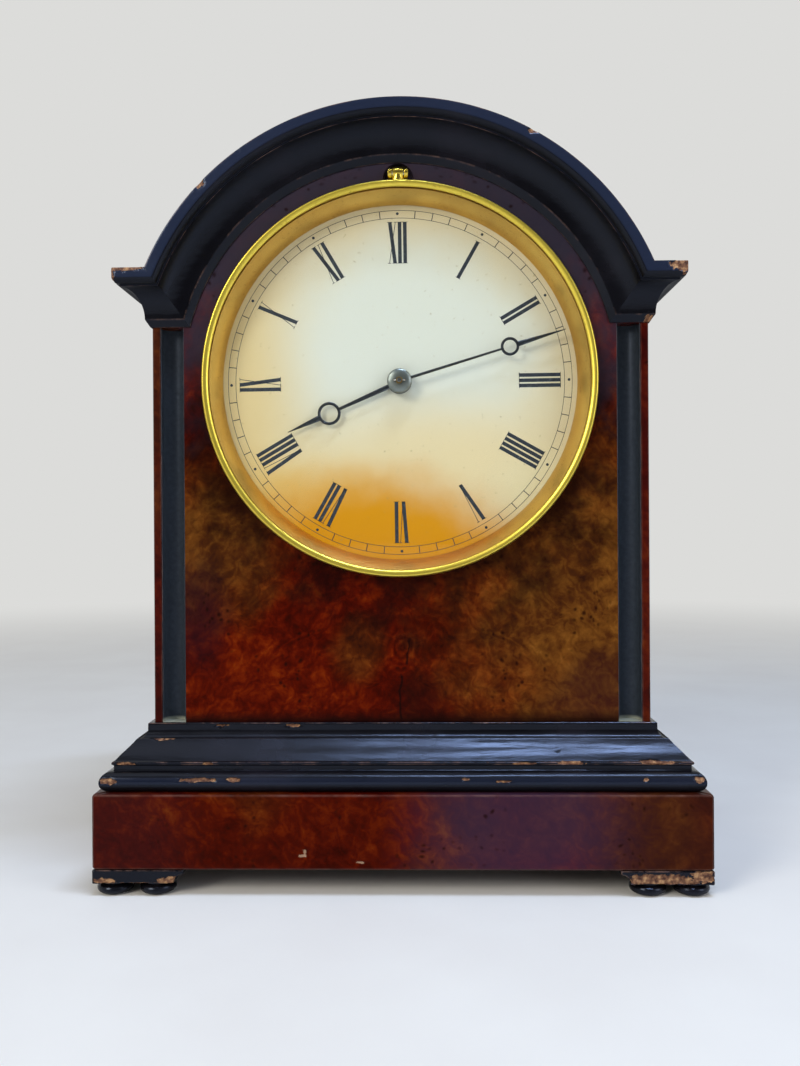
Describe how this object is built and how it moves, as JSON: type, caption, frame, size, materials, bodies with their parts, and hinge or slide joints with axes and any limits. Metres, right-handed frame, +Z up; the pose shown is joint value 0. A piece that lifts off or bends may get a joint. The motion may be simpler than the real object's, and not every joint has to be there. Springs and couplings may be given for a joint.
{
  "type": "table clock",
  "caption": "Arched wooden mantel timepiece with black mouldings, a hinged glazed brass bezel, moon hands and a spring-driven movement wound from a back door.",
  "frame": {"origin": "middle of the bounding box, at the floor under the turned feet", "axes": "+Z up, the dial faces -Y, +X to the right of someone reading the dial"},
  "size_m": [0.185, 0.112, 0.24],
  "materials": {
    "burr_walnut": "worn satin polish over burr walnut veneer",
    "pine": "stained and unpolished",
    "ebonised_wood": "black stain and satin polish, chipped edges",
    "polished_brass": "polished and lacquered",
    "movement_brass": "fine brushed",
    "bright_steel": "bright",
    "blued_steel": "dark blue temper",
    "clear_glass": "clear",
    "dial_paint": "aged cream paint with black figures"
  },
  "bodies": {
    "case": {"side_left": "burr_walnut", "side_right": "burr_walnut", "front_panel": "burr_walnut", "roof": "burr_walnut", "plinth_front": "burr_walnut", "plinth_back": "burr_walnut", "plinth_left": "burr_walnut", "plinth_right": "burr_walnut", "base_board": "pine", "back_frame": "pine", "foot_glides": "ebonised_wood", "foot_brackets": "ebonised_wood", "base_moulding_front": "ebonised_wood", "base_moulding_left": "ebonised_wood", "base_moulding_right": "ebonised_wood", "corner_hollow_left": "ebonised_wood", "corner_hollow_right": "ebonised_wood", "arch_moulding": "ebonised_wood", "cornice_front_left": "ebonised_wood", "cornice_front_right": "ebonised_wood", "cornice_side_left": "ebonised_wood", "cornice_side_right": "ebonised_wood", "bezel_hinge_block": "polished_brass", "door_hinge_leaves": "polished_brass", "dial_pan": "movement_brass", "pan_screws": "movement_brass", "front_plate": "movement_brass", "back_plate": "movement_brass", "plate_pillars": "movement_brass", "balance_cock": "movement_brass", "door_hinge_pins": "bright_steel", "bezel_hinge_pin": "bright_steel", "plate_screws": "bright_steel", "hairspring": "blued_steel", "dial": "dial_paint"},
    "back_door": {"back_door": "pine", "door_knob": "polished_brass", "door_hinge_straps": "polished_brass"},
    "bezel": {"bezel_ring": "polished_brass", "sight_ring": "polished_brass", "bezel_glass": "clear_glass"},
    "centre_arbor": {"centre_wheel": "movement_brass", "cannon_pinion": "bright_steel", "minute_hand": "blued_steel", "hand_collet": "blued_steel"},
    "minute_wheel": {"minute_wheel": "movement_brass"},
    "hour_pipe": {"hour_wheel": "movement_brass", "hour_hand": "blued_steel"},
    "barrel": {"barrel": "movement_brass", "mainspring": "bright_steel"},
    "winding_arbor": {"barrel_arbor": "bright_steel", "ratchet_wheel": "bright_steel"},
    "click": {"click": "bright_steel"},
    "intermediate_wheel": {"intermediate_wheel": "movement_brass"},
    "third_wheel": {"third_wheel": "movement_brass"},
    "fourth_wheel": {"fourth_wheel": "movement_brass"},
    "escape_wheel": {"escape_wheel": "movement_brass"},
    "lever": {"lever": "bright_steel"},
    "balance": {"balance_wheel": "movement_brass"},
    "regulator": {"regulator": "bright_steel"}
  },
  "joints": [
    {"name": "bezel_swing", "type": "hinge", "parent": "case", "child": "bezel", "pos_m": [0, -0.0423, 0.2199], "axis": [-1, 0, 0], "range_deg": [0, 100]},
    {"name": "door_swing", "type": "hinge", "parent": "case", "child": "back_door", "pos_m": [0.0528, 0.0514, 0.106], "axis": [0, 0, -1], "range_deg": [0, 110]},
    {"name": "minute_turn", "type": "hinge", "parent": "case", "child": "centre_arbor", "pos_m": [0, 0, 0.156], "axis": [0, 1, 0], "continuous": true},
    {"name": "minute_wheel_turn", "type": "hinge", "parent": "case", "child": "minute_wheel", "pos_m": [-0.012, 0, 0.156], "axis": [0, 1, 0], "continuous": true},
    {"name": "hour_turn", "type": "hinge", "parent": "case", "child": "hour_pipe", "pos_m": [0, 0, 0.156], "axis": [0, 1, 0], "continuous": true},
    {"name": "barrel_turn", "type": "hinge", "parent": "case", "child": "barrel", "pos_m": [0, 0, 0.133], "axis": [0, 1, 0], "continuous": true},
    {"name": "winding_turn", "type": "hinge", "parent": "case", "child": "winding_arbor", "pos_m": [0, 0, 0.133], "axis": [0, 1, 0], "continuous": true},
    {"name": "click_lift", "type": "hinge", "parent": "case", "child": "click", "pos_m": [-0.00785, 0, 0.1437], "axis": [0, -1, 0], "range_deg": [0, 12], "stiffness_Nm_per_rad": 0.002, "springref_deg": -11.46},
    {"name": "intermediate_turn", "type": "hinge", "parent": "case", "child": "intermediate_wheel", "pos_m": [0.01453, 0, 0.14698], "axis": [0, 1, 0], "continuous": true},
    {"name": "third_turn", "type": "hinge", "parent": "case", "child": "third_wheel", "pos_m": [0.00443, 0, 0.17252], "axis": [0, 1, 0], "continuous": true},
    {"name": "fourth_turn", "type": "hinge", "parent": "case", "child": "fourth_wheel", "pos_m": [-0.01073, 0, 0.17039], "axis": [0, 1, 0], "continuous": true},
    {"name": "escape_turn", "type": "hinge", "parent": "case", "child": "escape_wheel", "pos_m": [-0.01543, 0, 0.18331], "axis": [0, 1, 0], "continuous": true},
    {"name": "lever_rock", "type": "hinge", "parent": "case", "child": "lever", "pos_m": [-0.00726, 0, 0.18259], "axis": [0, 1, 0], "range_deg": [-5, 5]},
    {"name": "balance_swing", "type": "hinge", "parent": "case", "child": "balance", "pos_m": [0.00151, 0, 0.18183], "axis": [0, 1, 0], "range_deg": [-220, 220], "stiffness_Nm_per_rad": 0.000002},
    {"name": "regulator_turn", "type": "hinge", "parent": "case", "child": "regulator", "pos_m": [0.00151, 0, 0.18183], "axis": [0, 1, 0], "range_deg": [-20, 20]}
  ],
  "couplings": [
    {"joint": "minute_wheel_turn", "follows": "minute_turn", "ratio": -0.33333},
    {"joint": "hour_turn", "follows": "minute_turn", "ratio": 0.083333},
    {"joint": "intermediate_turn", "follows": "minute_turn", "ratio": -0.1875},
    {"joint": "barrel_turn", "follows": "minute_turn", "ratio": 0.026786},
    {"joint": "third_turn", "follows": "minute_turn", "ratio": -8},
    {"joint": "fourth_turn", "follows": "minute_turn", "ratio": 60},
    {"joint": "escape_turn", "follows": "minute_turn", "ratio": -600}
  ]
}
